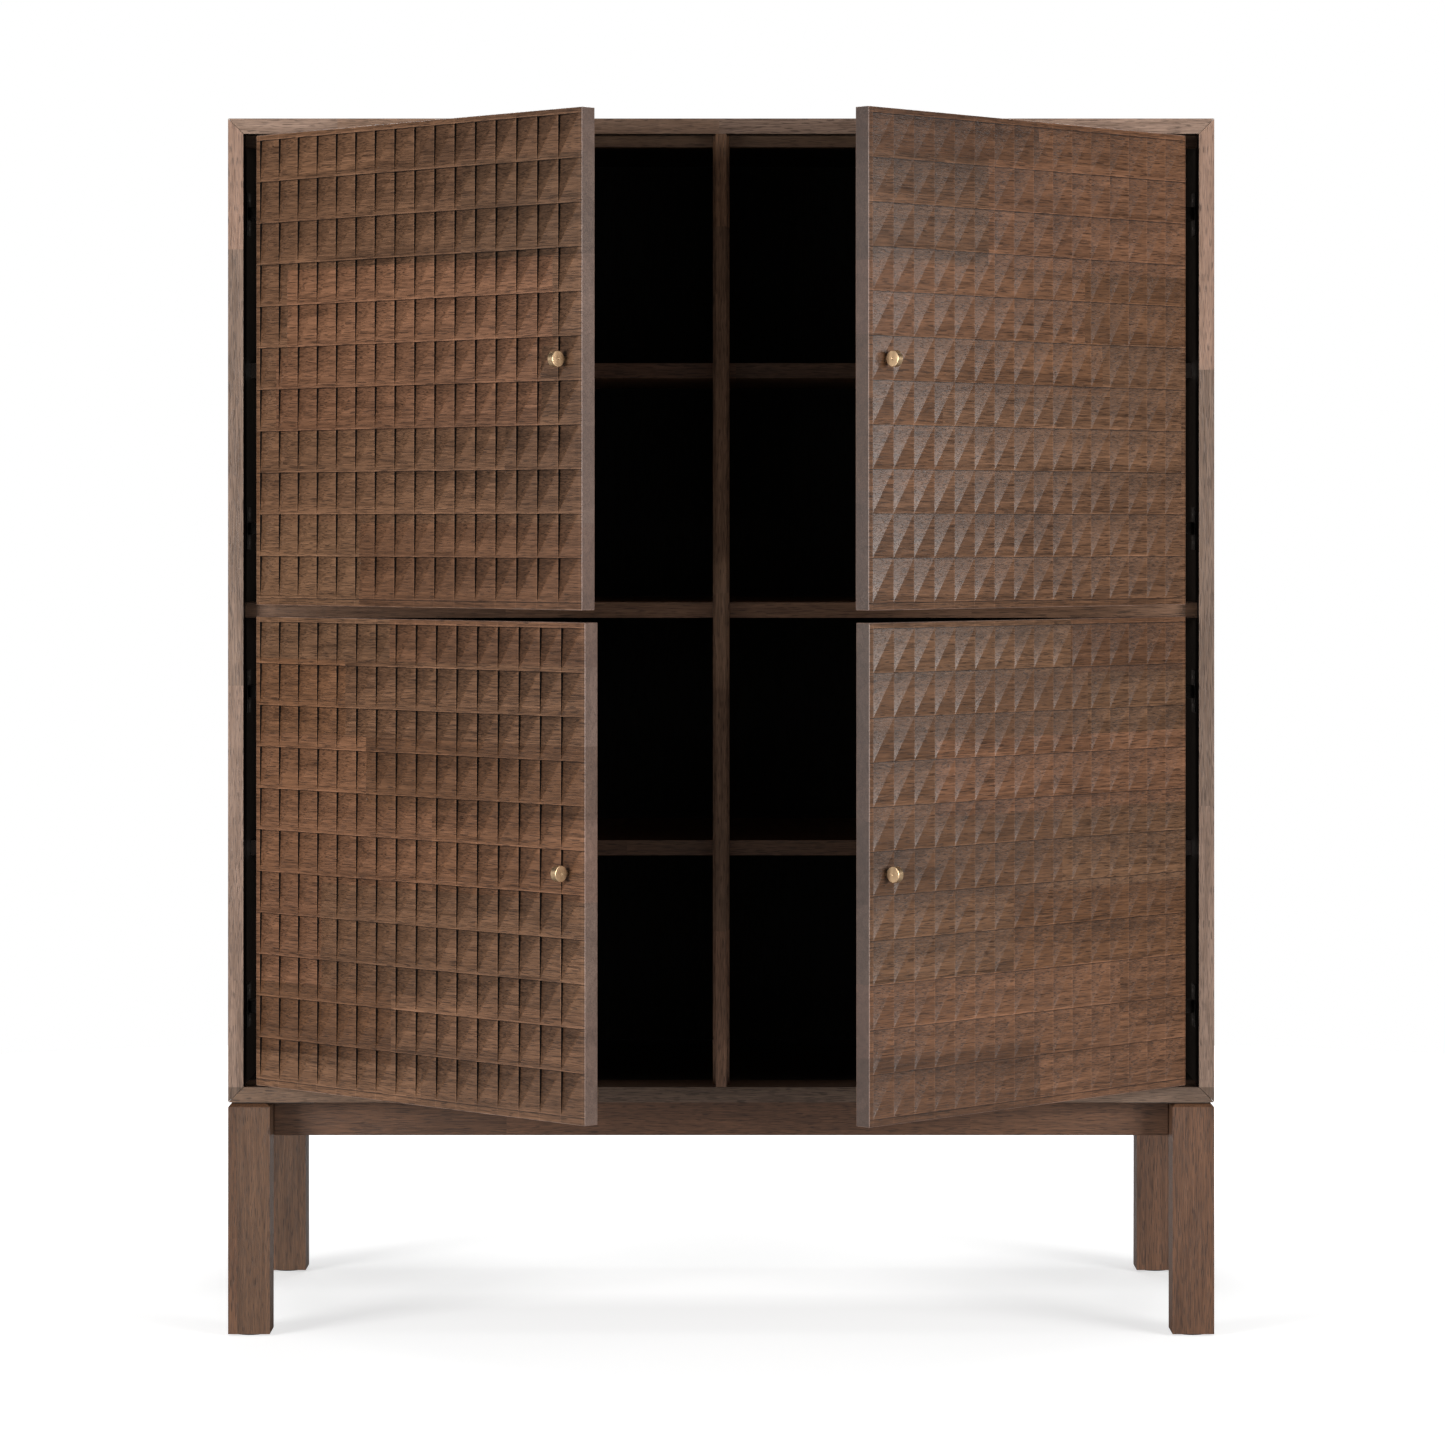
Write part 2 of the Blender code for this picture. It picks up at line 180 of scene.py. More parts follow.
# painted light: the left doors' edges lighter and the right doors' darker, for the light that falls on them
DOOR_EDGE_PAINTED_LIGHT = {"left": 1.25, "right": 0.66}

WOOD_BUMP = 0.0001
STAVE_LENGTH = 0.42      # average length of the pieces that a board is jointed from
STAVE_UNEVENNESS = 0.75
STAVE_SHIFT = (9.0, 7.0, 8.0)   # the most that two staves' grain is shifted apart
ROW_SHIFT = 11.0         # the same for the ends of the staves in two rows
RINGS = 14.0             # growth rings through the whole range of the figure
TONE_SHARES = (("figure", 0.8), ("streak", 1.45), ("fibre", 1.5), ("rings", 0.22))
MOTTLE_SHARE = 0.5
STAVE_VALUES = (0.84, 1.14)
COOL_STAVE = (0.92, 1.0, 1.10, 1.0)
WARM_STAVE = (1.08, 0.99, 0.90, 1.0)
PORE_RIM = (0.58, 0.68)  # pore noise from a pore's rim to its inside
PORE_COVER = 0.65
PORE_TONE = 0.35         # of the dark tone
PORE_SINK = 0.6          # the share of the bump's height, as the next two
FIBRE_RISE = 0.5
STREAK_RISE = 0.3
GRAIN_ROUGHNESS = 0.16   # from the smoothest streak to the roughest


def toned(tones, factor):
    return [[min(1.0, factor * channel) for channel in tone] for tone in tones]


def random_spans(tree, value, span, seed):
    """A random colour that is constant along each span, of uneven length, of a value."""
    position = calc(tree, "MULTIPLY_ADD", value, 1.0 / span, seed)
    cells = add(tree, "TexVoronoi", {"W": position, "Scale": 1.0, "Randomness": STAVE_UNEVENNESS},
                voronoi_dimensions="1D", feature="F1")
    return cells.outputs["Color"]


def grain(tree, along, across, stave_width, seed):
    """Values of wood grain that runs along one axis, in staves stacked across it."""
    place = object_place(tree)
    split = add(tree, "SeparateXYZ", {0: place})
    row = random_spans(tree, split.outputs["XYZ".index(across)], stave_width, seed)
    row_start = calc(tree, "MULTIPLY", add(tree, "SeparateColor", {0: row}).outputs[2], ROW_SHIFT)
    stave = random_spans(tree, split.outputs["XYZ".index(along)], STAVE_LENGTH, row_start)
    offset = add(tree, "VectorMath", {0: stave, 1: STAVE_SHIFT}, operation="MULTIPLY").outputs[0]
    shifted = add(tree, "VectorMath", {0: place, 1: offset}, operation="ADD").outputs[0]

    def stretched(length, width, **texture):
        scale = [1.0 / width] * 3
        scale["XYZ".index(along)] = 1.0 / length
        mapping = add(tree, "Mapping", {"Vector": shifted, "Scale": scale})
        inputs = {"Vector": mapping.outputs[0], "Scale": 1.0}
        inputs.update(texture)
        return add(tree, "TexNoise", inputs).outputs["Fac"]

    figure = stretched(0.55, 0.050, Detail=2.0, Roughness=0.45, Distortion=0.35)
    rings = calc(tree, "PINGPONG", calc(tree, "MULTIPLY", figure, RINGS), 1.0)
    return {
        "stave": stave,
        "figure": figure,
        "rings": rings,
        "mottle": stretched(0.10, 0.030, Detail=3.0, Roughness=0.6),
        "streak": stretched(0.10, 0.0030, Detail=4.0, Roughness=0.7, Distortion=0.25),
        "fibre": stretched(0.025, 0.0009, Detail=2.0, Roughness=0.6),
        "pores": stretched(0.013, 0.0007, Detail=0.0),
    }


def wood_color(tree, parts, dark, light):
    """Base colour from two tones, with streaks, rings, pores and a tone for each stave."""
    tone = 0.5
    for key, share in TONE_SHARES:
        centred = calc(tree, "SUBTRACT", parts[key], 0.5)
        tone = calc(tree, "MULTIPLY_ADD", centred, share, tone)
    color = mix_color(tree, tone, (*dark, 1.0), (*light, 1.0))
    stave = add(tree, "SeparateColor", {0: parts["stave"]})
    value = ramp(tree, stave.outputs[0], 0.0, 1.0, *STAVE_VALUES)
    mottle = calc(tree, "SUBTRACT", parts["mottle"], 0.5)
    shade = calc(tree, "MULTIPLY_ADD", mottle, MOTTLE_SHARE, value)
    warm = ramp(tree, stave.outputs[1], 0.1, 0.9)
    tint = mix_color(tree, warm, COOL_STAVE, WARM_STAVE)
    tint = add(tree, "VectorMath", {0: tint, "Scale": shade}, operation="SCALE").outputs[0]
    color = mix_color(tree, 1.0, color, tint, "MULTIPLY")
    pore = ramp(tree, parts["pores"], *PORE_RIM, 0.0, PORE_COVER)
    return mix_color(tree, pore, color, [PORE_TONE * channel for channel in dark] + [1.0])


def wood_height(tree, parts):
    streaks = calc(tree, "MULTIPLY", parts["streak"], STREAK_RISE)
    height = calc(tree, "MULTIPLY_ADD", parts["fibre"], FIBRE_RISE, streaks)
    return calc(tree, "SUBTRACT", height, ramp(tree, parts["pores"], *PORE_RIM, 0.0, PORE_SINK))


def wood(name, tones, along, across, stave_width, seed, roughness=0.45, specular=0.5, recolor=None):
    """A lacquered wood. recolor(tree, color) may change the colour by place."""
    material = new_material(name)
    tree = material.node_tree
    parts = grain(tree, along, across, stave_width, seed)
    color = wood_color(tree, parts, *tones)
    if recolor:
        color = recolor(tree, color)
    rough = calc(tree, "MULTIPLY_ADD", parts["streak"], GRAIN_ROUGHNESS, roughness - GRAIN_ROUGHNESS / 2)
    finish_material(tree, color, rough, wood_height(tree, parts), WOOD_BUMP,
                    Specular_IOR_Level=specular)
    return material


# ---- painted shade and sheen on the case ----
ZONE_MARGIN = 0.0006
# painted shade on the case's inner faces, nearly black
INNER_PAINTED_SHADE = (0.10, 0.12, 0.13)
LIT_STRIP_DEPTH = 0.068       # the bottom board gets the painted shade only behind this lit strip
# painted sheen on the case's front edges
FRONT_PAINTED_SHEEN = (2.6, 3.05, 3.6)
BASE_EDGE_PAINTED_SHADE = (0.52, 0.50, 0.46)   # painted shade on the bottom board's front edge, against the other three
REAR_TINT = (7.0, 5.0, 3.6)
# painted shade on the shelves' ends, in the gaps by the case sides
SHELF_END_PAINTED_SHADE = (0.10, 0.09, 0.08)
SHELF_END_REACH = (0.42, 0.50)   # from the middle of the case, where the painted shade starts and is full


def case_zones(tree, color):
    """Painted shade on the case's inner faces, a paler, greyer front edge painted for its sheen, and painted
    shade on the bottom board's front edge.
    """
    x, y, z = object_axes(tree)
    inner_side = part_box("right_side")[0].x
    floor_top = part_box("bottom_panel")[1].z
    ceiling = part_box("top_panel")[0].z
    on_floor = calc(tree, "LESS_THAN", z, floor_top + ZONE_MARGIN)
    lit_strip = calc(tree, "MULTIPLY", on_floor, LIT_STRIP_DEPTH)
    mask = calc(tree, "LESS_THAN", calc(tree, "ABSOLUTE", x), inner_side + ZONE_MARGIN)
    for condition in (
            calc(tree, "GREATER_THAN", z, floor_top - ZONE_MARGIN),
            calc(tree, "LESS_THAN", z, ceiling + ZONE_MARGIN),
            calc(tree, "GREATER_THAN", calc(tree, "SUBTRACT", y, lit_strip), FRONT + ZONE_MARGIN)):
        mask = calc(tree, "MULTIPLY", mask, condition)
    # painted shade on the inner faces
    color = tint_where(tree, mask, color, INNER_PAINTED_SHADE)
    # painted sheen: a paler, greyer front edge
    front = calc(tree, "LESS_THAN", y, FRONT + ZONE_MARGIN)
    color = tint_where(tree, front, color, FRONT_PAINTED_SHEEN)
    # painted shade on the bottom board's front edge
    low = calc(tree, "LESS_THAN", z, floor_top)
    return tint_where(tree, calc(tree, "MULTIPLY", front, low), color, BASE_EDGE_PAINTED_SHADE)


def bare_rear(tree, color):
    """The back board is nearly black inside, a painted shade, and only dark brown behind."""
    low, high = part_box("back_panel")
    behind = calc(tree, "GREATER_THAN", object_axes(tree)[1], (low.y + high.y) / 2)
    return tint_where(tree, behind, color, REAR_TINT)


def painted_shade_ends(tree, color):
    """Painted shade on the shelves where they meet the case's sides."""
    reach = calc(tree, "ABSOLUTE", object_axes(tree)[0])
    return tint_where(tree, ramp(tree, reach, *SHELF_END_REACH), color, SHELF_END_PAINTED_SHADE)


# ---- the CAD boards ----
CASE_STAVE = 0.08
BOARD_EDGE = 0.0007      # how far the boards' edges are rounded
SHELF_EDGE = 0.0014
BACK_EDGE = 0.0005
LEG_EDGE = 0.0009
RAIL_EDGE = 0.0004
ROUNDED_ANGLE = radians(30)


def soft_edges(obj, width):
    """Rounds the sharp edges; the rounded strips take the piece's second material."""
    bevel = obj.modifiers.new("soft edges", "BEVEL")
    bevel.width = width
    bevel.segments = 2
    bevel.limit_method = "ANGLE"
    bevel.angle_limit = ROUNDED_ANGLE
    bevel.material = 1


def set_materials(node, *materials):
    data = frame["nodes"][node].data
    data.materials.clear()
    for material in materials:
        data.materials.append(material)


def dress(node, material, edge_material, width):
    set_materials(node, material, edge_material)
    soft_edges(frame["nodes"][node], width)


def dress_case():
    for along, nodes in (("X", ("top_panel", "bottom_panel")), ("Z", ("left_side", "right_side"))):
        for index, node in enumerate(nodes):
            seed = 3.7 * index + 0.4
            face = wood("case_" + node, CASE_TONES, along, "Y", CASE_STAVE, seed, recolor=case_zones)
            edge = wood("edge_" + node, FRONT_SHEEN_TONES, along, "Y", CASE_STAVE, seed)
            dress(node, face, edge, BOARD_EDGE)
    fixed = wood("fixed_shelf_wood", SHELF_TONES, "X", "Z", stave_width=0.2, seed=2.3)
    # painted highlight on the fixed shelves' rounded edges
    highlighted_edge = wood("fixed_shelf_edge", toned(FRONT_SHEEN_TONES, FIXED_SHELF_HIGHLIGHT), "X", "Z",
                  stave_width=0.2, seed=2.3, roughness=0.3)
    loose = wood("inner_shelf_wood", SHELF_TONES, "X", "Z", stave_width=0.2, seed=5.1,
                 recolor=painted_shade_ends)
    upright = wood("divider_wood", toned(SHELF_TONES, DIVIDER), "Z", "Y", stave_width=0.09, seed=1.2)
    dress("divider", upright, upright, BOARD_EDGE)
    for side in SIDES:
        dress("door_stop_" + side, fixed, fixed, BOARD_EDGE)
        dress("fixed_shelf_" + side, fixed, highlighted_edge, SHELF_EDGE)
        for prefix in ("shelf_upper_", "shelf_lower_"):
            dress(prefix + side, loose, loose, BOARD_EDGE)
    back = wood("back_board", BACK_TONES, "Z", "X", stave_width=0.12, seed=8.2, roughness=0.7,
                specular=0.15, recolor=bare_rear)
    dress("back_panel", back, back, BACK_EDGE)


def dress_base():
    woods = {}
    for name, along, across, stave_width, seed in (
            ("leg", "Z", "X", 0.09, 0.9), ("rail", "X", "Z", 0.11, 4.4), ("side_rail", "Y", "Z", 0.11, 6.2)):
        face = wood(name + "_wood", LEG_TONES, along, across, stave_width, seed)
        edge = wood(name + "_edge", toned(LEG_TONES, WORN_EDGE), along, across, stave_width, seed)
        woods[name] = (face, edge)
    for y_name in ("front", "back"):
        dress("rail_" + y_name, *woods["rail"], RAIL_EDGE)
        for side in SIDES:
            dress(f"leg_{y_name}_{side}", *woods["leg"], LEG_EDGE)
    for side in SIDES:
        dress("rail_" + side, *woods["side_rail"], RAIL_EDGE)


# ---- metals and felt ----
SCRATCH_ROUGHNESS = 0.22     # from the smoothest mark to the roughest
SCRATCH_BUMP = 0.00004
TARNISH_SCALE = 160.0
TARNISH_RIM = (0.35, 0.7)
TARNISH_COVER = 0.35
TARNISH_TONE = 0.55      # of the clean metal's
FELT_SCALE = 2400.0
FELT_BUMP = 0.0004


def metal(name, color, roughness, scratch_scale, metallic):
    """Metal with fine turning marks or scratches in its roughness and bump."""
    material = new_material(name)
    tree = material.node_tree
    place = object_place(tree)
    mapping = add(tree, "Mapping", {"Vector": place, "Scale": scratch_scale})
    lines = add(tree, "TexNoise", {"Vector": mapping.outputs[0], "Scale": 1.0, "Detail": 3.0})
    cloud = add(tree, "TexNoise", {"Vector": place, "Scale": TARNISH_SCALE, "Detail": 2.0})
    tarnish = ramp(tree, cloud.outputs["Fac"], *TARNISH_RIM, 0.0, TARNISH_COVER)
    tarnished = [TARNISH_TONE * channel for channel in color]
    shade = mix_color(tree, tarnish, (*color, 1.0), (*tarnished, 1.0))
    rough = calc(tree, "MULTIPLY_ADD", lines.outputs["Fac"], SCRATCH_ROUGHNESS,
                 roughness - SCRATCH_ROUGHNESS / 2)
    finish_material(tree, shade, rough, lines.outputs["Fac"], SCRATCH_BUMP, Metallic=metallic)
    return material


def felt():
    material = new_material("felt_fibres")
    tree = material.node_tree
    fuzz = add(tree, "TexNoise", {"Vector": object_place(tree), "Scale": FELT_SCALE, "Detail": 3.0})
    color = mix_color(tree, fuzz.outputs["Fac"], (0.02, 0.02, 0.02, 1.0), (0.07, 0.065, 0.06, 1.0))
    finish_material(tree, color, 0.95, fuzz.outputs["Fac"], FELT_BUMP, Sheen_Weight=0.4)
    return material


def dress_fittings(steel, brass, pads):
    for node in frame["nodes"]:
        for prefix, material in (("corner_plate", steel), ("knob_post", brass), ("foot_pad", pads)):
            if node.startswith(prefix):
                set_materials(node, material)


# ---- mesh helpers ----
def new_object(name, mesh, body, location=(0, 0, 0), turn=0.0):
    obj = bpy.data.objects.new(name, mesh)
    bpy.context.scene.collection.objects.link(obj)
    obj.location = location
    obj.rotation_euler = (0.0, 0.0, turn)
    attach(obj, body)
    return obj


def mesh_from(name, shape, materials, smooth_angle=None):
    mesh = bpy.data.meshes.new(name)
    bmesh.ops.recalc_face_normals(shape, faces=shape.faces)
    shape.to_mesh(mesh)
    shape.free()
    for material in materials:
        mesh.materials.append(material)
    if smooth_angle:
        mesh.shade_smooth()
        mesh.set_sharp_from_angle(angle=smooth_angle)
    return mesh


def lathe(shape, profile, steps, matrix):
    """Turns (radius, height) points about Z, closed on the axis, then moves them by matrix."""
    earlier = set(shape.verts)
    start = [shape.verts.new((radius, 0.0, height)) for radius, height in profile]
    edges = [shape.edges.new(pair) for pair in zip(start, start[1:])]
    bmesh.ops.spin(shape, geom=start + edges, cent=(0, 0, 0), axis=(0, 0, 1),
                   angle=2 * pi, steps=steps, use_merge=True)
    turned = [vert for vert in shape.verts if vert not in earlier]
    bmesh.ops.transform(shape, matrix=matrix, verts=turned)
    bmesh.ops.remove_doubles(shape, verts=turned, dist=0.000005)


def edges_among(shape, verts):
    return [edge for edge in shape.edges if all(vert in verts for vert in edge.verts)]


# ---- doors ----
DOOR_STAVE = 0.085
FACET_CURVE = 0.6        # 1 would be a plane
FACET_STEPS = 6
SHARP_ANGLE = radians(4.5)   # above the bends inside a facet, below those at its sides
FACE_SLOT, WALL_SLOT, EDGE_SLOT, BACK_SLOT, ARRIS_SLOT = range(5)

# painted shade on the facets, stronger towards the left doors' free edges, for the light that falls on them
FACET_PAINTED_SHADE = (0.50, 0.52, 0.56)
FACET_SHADE_COVER = {-1: (0.05, 0.62), 1: (0.0, 0.12)}   # from hinge to free edge, by the side's sign
CARVED = (0.0, 0.0005)   # depth at which a facet begins, and at which it has its whole painted shade
# painted shade deep in each cell, darker the deeper the cut
DEEP_PAINTED_SHADE = (0.55, 0.55, 0.57)
DEEP_SHADE_COVER = 0.60
# painted shadow under each cell's upper edge
UNDER_EDGE_PAINTED_SHADOW = (0.25, 0.23, 0.22)
# painted highlight along the cells' ridges
RIDGE_PAINTED_HIGHLIGHT = (1.5, 1.55, 1.65)
CELL_LIGHT_BANDS = (           # way through a cell, where it starts and ends, cover there, tint
    ("down", 0.014, 0.034, 0.85, 0.0, UNDER_EDGE_PAINTED_SHADOW),
    ("down", 0.960, 0.985, 0.0, 0.60, RIDGE_PAINTED_HIGHLIGHT),
    ("across", 0.950, 0.985, 0.0, 0.65, RIDGE_PAINTED_HIGHLIGHT),
)


def door_frame(name, sign):
    """Place and turn of a door's own frame, on its hinge axis, and the door's height."""
    joint = JOINTS["hinge_" + name]
    low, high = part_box("door_" + name)
    place = (joint["pos_m"][0], joint["pos_m"][1], (low.z + high.z) / 2)
    open_at_rest = -joint["range_deg"][0]     # the joint's lower limit is the closed place
    return place, sign * radians(open_at_rest), high.z - low.z


def carved_slab(left, base, height):
    """A door board whose front is a grid of cells, each sunk towards its top left corner."""
    shape = bmesh.new()
    front = AXIS_FORWARD
    back = front + DOOR_THICK
    grid_left = left + CELL_LEFT_BORDER
    grid_top = base + height - CELL_TOP_BORDER
    columns = [grid_left + CELL_WIDTH * index for index in range(CELL_COLUMNS + 1)]
    rows = [grid_top - CELL_HEIGHT * index for index in range(CELL_ROWS + 1)]
    flat = [[shape.verts.new((x, front, z)) for x in columns] for z in rows]
    for row in range(CELL_ROWS):
        for column in range(CELL_COLUMNS):
            carve_cell(shape, flat, row, column)
    right = left + DOOR_WIDTH
    top = base + height
    corners = [(left, base), (right, base), (right, top), (left, top)]
    outer = [shape.verts.new((x, front, z)) for x, z in corners]
    rear = [shape.verts.new((x, back, z)) for x, z in corners]
    borders = (
        (outer[0], outer[1], flat[-1][::-1]),
        (outer[1], outer[2], [line[-1] for line in flat]),
        (outer[2], outer[3], flat[0]),
        (outer[3], outer[0], [line[0] for line in reversed(flat)]),
    )
    for start, end, inner in borders:
        shape.faces.new([start, end, *inner])
    for index in range(4):
        following = (index + 1) % 4
        face = shape.faces.new([outer[index], rear[index], rear[following], outer[following]])
        face.material_index = EDGE_SLOT
    face = shape.faces.new(rear)
    face.material_index = BACK_SLOT
    bmesh.ops.bevel(shape, geom=edges_among(shape, outer + rear), offset=DOOR_CHAMFER, segments=2,
                    profile=0.5, affect="EDGES", material=ARRIS_SLOT)
    return shape


def facet_depth(share):
    """Depth at the left wall of a cell, by the share of its height: steep at first."""
    return FACET_DEPTH * share ** FACET_CURVE


def carve_cell(shape, flat, row, column):
    """A flat lower right half, and a sunk upper left half that twists as it rises."""
    top_left = flat[row][column]
    top_right = flat[row][column + 1]
    low_left = flat[row + 1][column]
    low_right = flat[row + 1][column + 1]
    shares = [step / FACET_STEPS for step in range(1, FACET_STEPS + 1)]
    rise = top_left.co - low_left.co
    slant = top_right.co - low_left.co
    wall = [shape.verts.new(low_left.co + rise * share + Vector((0, facet_depth(share), 0)))
            for share in shares]
    diagonal = [shape.verts.new(low_left.co + slant * share) for share in shares[:-1]]
    diagonal.append(top_right)
    shape.faces.new([low_left, low_right, *reversed(diagonal)])
    shape.faces.new([low_left, diagonal[0], wall[0]])
    for index in range(1, FACET_STEPS):
        shape.faces.new([wall[index - 1], diagonal[index - 1], diagonal[index], wall[index]])
    for side in ([top_left, low_left, *wall], [wall[-1], top_right, top_left]):
        shape.faces.new(side).material_index = WALL_SLOT


def paint_cell_light(sign, left, top):
    """Painted shade on the facets, deep in each cell and under its upper edge, and painted highlights along
    the ridges.
    """
    def share_of_cell(tree, distance, size):
        return calc(tree, "FRACT", calc(tree, "DIVIDE", distance, size))

    def recolor(tree, color):
        x, y, z = object_axes(tree)
        depth = calc(tree, "SUBTRACT", y, AXIS_FORWARD)
        reach = calc(tree, "MULTIPLY", x, -sign)
        # painted shade on the facets, by the distance from the hinge
        cover = ramp(tree, reach, 0.0, DOOR_WIDTH, *FACET_SHADE_COVER[sign])
        facet_shade = calc(tree, "MULTIPLY", ramp(tree, depth, *CARVED), cover)
        color = tint_where(tree, facet_shade, color, FACET_PAINTED_SHADE)
        deep_shade = ramp(tree, depth, 0.0, FACET_DEPTH, 0.0, DEEP_SHADE_COVER)
        color = tint_where(tree, deep_shade, color, DEEP_PAINTED_SHADE)
        ways = {
            "across": share_of_cell(tree, calc(tree, "SUBTRACT", x, left), CELL_WIDTH),
            "down": share_of_cell(tree, calc(tree, "SUBTRACT", top, z), CELL_HEIGHT),
        }
        for way, start, end, start_cover, end_cover, tint in CELL_LIGHT_BANDS:
            mask = ramp(tree, ways[way], start, end, start_cover, end_cover)
            color = tint_where(tree, mask, color, tint)
        return color
    return recolor


def door_woods(name, side, grid_left, grid_top, seed):
    """The five woods of a door, in the order of their slots."""
    # painted light: the edges lighter or darker by the door's side
    lit_edge_tones = toned(DOOR_EDGE_TONES, DOOR_EDGE_PAINTED_LIGHT[side])
    # painted highlight on the door's rounded rim
    highlighted_arris_tones = toned(DOOR_EDGE_TONES, DOOR_ARRIS_HIGHLIGHT)
    carved = {"roughness": 0.31, "recolor": paint_cell_light(SIDES[side], grid_left, grid_top)}
    return [
        wood(f"door_{part}_{name}", tones, "X", "Z", DOOR_STAVE, part_seed, **options)
        for part, tones, part_seed, options in (
            ("face", DOOR_TONES, seed, carved),
            ("wall", WALL_TONES, seed, {"roughness": 0.8}),
            ("edge", lit_edge_tones, seed, {}),
            ("back", DOOR_TONES, seed + 0.3, {}),
            ("arris", highlighted_arris_tones, seed, {}),
        )
    ]


def add_door(level, side, seed):
    name = f"{level}_{side}"
    sign = SIDES[side]
    place, turn, height = door_frame(name, sign)
    left = min(sign * AXIS_INBOARD, sign * (AXIS_INBOARD - DOOR_WIDTH))
    base = -height / 2
    woods = door_woods(name, side, left + CELL_LEFT_BORDER, base + height - CELL_TOP_BORDER, seed)
    mesh = mesh_from("door_board_" + name, carved_slab(left, base, height), woods)
    board = new_object("door_board_" + name, mesh, "door_" + name, place, turn)
    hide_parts("door_" + name)
    drill_pockets(board, sign, base, height)


def drill_pockets(board, sign, base, height):
    """Two round pockets for the hinge cups in the back of the board."""
    shape = bmesh.new()
    radius = CUP_RADIUS + FIT_GAP
    for level in (base + HINGE_FROM_END, base + height - HINGE_FROM_END):
        place = Matrix.Translation((sign * (AXIS_INBOARD - CUP_FROM_EDGE),
                                    AXIS_FORWARD + DOOR_THICK, level))
        bmesh.ops.create_cone(shape, cap_ends=True, segments=96, radius1=radius, radius2=radius,
                              depth=2 * (CUP_DEPTH + FIT_GAP),
                              matrix=place @ Matrix.Rotation(pi / 2, 4, "X"))
    cutter = bpy.data.objects.new("cutter", mesh_from("cutter", shape, []))
    bpy.context.scene.collection.objects.link(cutter)
    cutter.matrix_world = board.matrix_world
    boolean = board.modifiers.new("pockets", "BOOLEAN")
    boolean.operation = "DIFFERENCE"
    boolean.object = cutter
    bpy.context.view_layer.update()
    evaluated = board.evaluated_get(bpy.context.evaluated_depsgraph_get())
    cut_mesh = bpy.data.meshes.new_from_object(evaluated)
    cut_mesh.shade_smooth()
    cut_mesh.set_sharp_from_angle(angle=SHARP_ANGLE)
    board.modifiers.clear()
    board.data = cut_mesh
    bpy.data.objects.remove(cutter, do_unlink=True)


# ---- knobs ----
KNOB_MARK = ((0.0, 0.0007), (0.0007, 0.0005), (0.0011, 0.0001), (0.0013, 0.00005))  # radius, depth
KNOB_RIM = ((0.0006, 0.0), (0.0002, 0.00015), (0.0, 0.0005))    # inside the radius, below the end
KNOB_STEPS = 64
KNOB_SHARP_ANGLE = radians(12)


def knob_profile():
    """Half a drum, from its centre out and back: flat ends with a centre mark."""
    half = KNOB_LENGTH / 2
    end = [(radius, half - depth) for radius, depth in KNOB_MARK]
    end += [(KNOB_RADIUS - inside, half - below) for inside, below in KNOB_RIM]
    return end + [(radius, -height) for radius, height in reversed(end)]


def add_knob(level, side, brass):
    name = f"{level}_{side}"
    sign = SIDES[side]
    place, turn, _ = door_frame(name, sign)
    across = sign * (AXIS_INBOARD - KNOB_FACE_FROM_HINGE + KNOB_LENGTH / 2)
    centre = Matrix.Translation((across, AXIS_FORWARD - KNOB_STANDOFF - KNOB_RADIUS, 0.0))
    shape = bmesh.new()
    lathe(shape, knob_profile(), KNOB_STEPS, centre @ Matrix.Rotation(pi / 2, 4, "Y"))
    mesh = mesh_from("knob_drum_" + name, shape, [brass], KNOB_SHARP_ANGLE)
    drum = new_object("knob_drum_" + name, mesh, "door_" + name, place, turn)
    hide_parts("knob_" + name)


# ---- hinges ----
CUP_WALL = 0.0008
CUP_FILLET = 0.001
FLANGE_RADIUS = 0.020
FLANGE_THICK = 0.0010
FLANGE_EDGE = 0.0003
CUP_STEPS = 72
EAR_REACH = 0.0235       # from the cup's centre to each ear's screw
EAR_RADIUS = 0.0055
EAR_ROOT = (0.009, 0.0178)      # half the ear's width at the flange, and how far out that is
EAR_DROP = 0.0001        # from the flange's top to the ears'
EAR_STEPS = 24
PIN_RADIUS = 0.0014
PIN_LENGTH = 0.030
PIN_PLACES = ((-0.006, -0.004), (0.006, -0.004))
ARM_HEIGHT = 0.014
ARM_PLAN = ((0.0022, 0.062), (0.0022, 0.030), (0.006, 0.0245), (0.020, 0.0218), (0.027, 0.0218),
            (0.027, 0.0255), (0.023, 0.0260), (0.013, 0.0310), (0.013, 0.062))
ARM_TOP = 0.013
ARM_SCREWS = (0.038, 0.054)
ARM_EDGE = 0.0008
PLATE_THICK = 0.0022
PLATE_HEIGHT = 0.048
PLATE_DEPTH = (0.032, 0.062)
PLATE_SCREWS = (-0.016, 0.016)
SCREW_RADIUS = 0.0036
SCREW_PROFILE = ((0.0, 0.0001), (0.3, 0.0001), (0.34, 0.0008), (0.7, 0.0007), (0.92, 0.0004),
                 (1.0, 0.0), (1.0, -0.0003), (0.0, -0.0003))    # share of the radius, height
SMALL_STEPS = 24
HINGE_SHARP_ANGLE = radians(35)


def screw_head(shape, matrix):
    """A low domed head with a round socket; it rises along the matrix's Z."""
    profile = [(share * SCREW_RADIUS, height) for share, height in SCREW_PROFILE]
    lathe(shape, profile, SMALL_STEPS, matrix)


